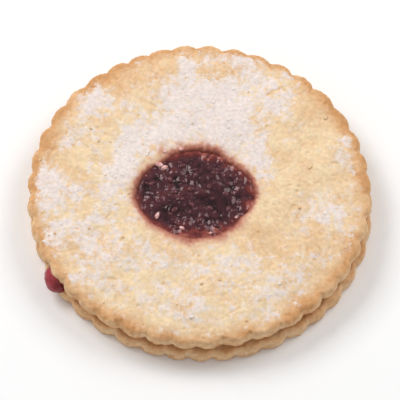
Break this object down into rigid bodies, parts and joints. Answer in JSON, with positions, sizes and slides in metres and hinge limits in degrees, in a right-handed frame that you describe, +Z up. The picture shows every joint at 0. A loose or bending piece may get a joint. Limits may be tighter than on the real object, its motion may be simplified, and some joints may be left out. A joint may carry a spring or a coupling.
{
  "type": "linzer cookie",
  "caption": "Round fluted shortbread sandwich cookie lying flat, with a red jam filling that shows in an oval window and a dusting of icing sugar.",
  "frame": {"origin": "middle of the cookie at the height of its flat underside", "axes": "+Z up out of the sugared face; -Y towards the viewer, so the bead of jam at the edge is at the front left; +X to the right"},
  "size_m": [0.0766, 0.076, 0.0092],
  "materials": {
    "shortbread": "matte golden baked shortbread, fine crumb, browner at the fluted edge",
    "sugared_shortbread": "matte golden shortbread with a patchy dusting of icing sugar",
    "jam": "glossy dark red jam, lumpy, with small seeds",
    "icing_sugar": "dry matte white powder in small clumps"
  },
  "bodies": {
    "root": {"bottom_biscuit": "shortbread", "jam": "jam", "top_biscuit": "sugared_shortbread"}
  },
  "joints": []
}
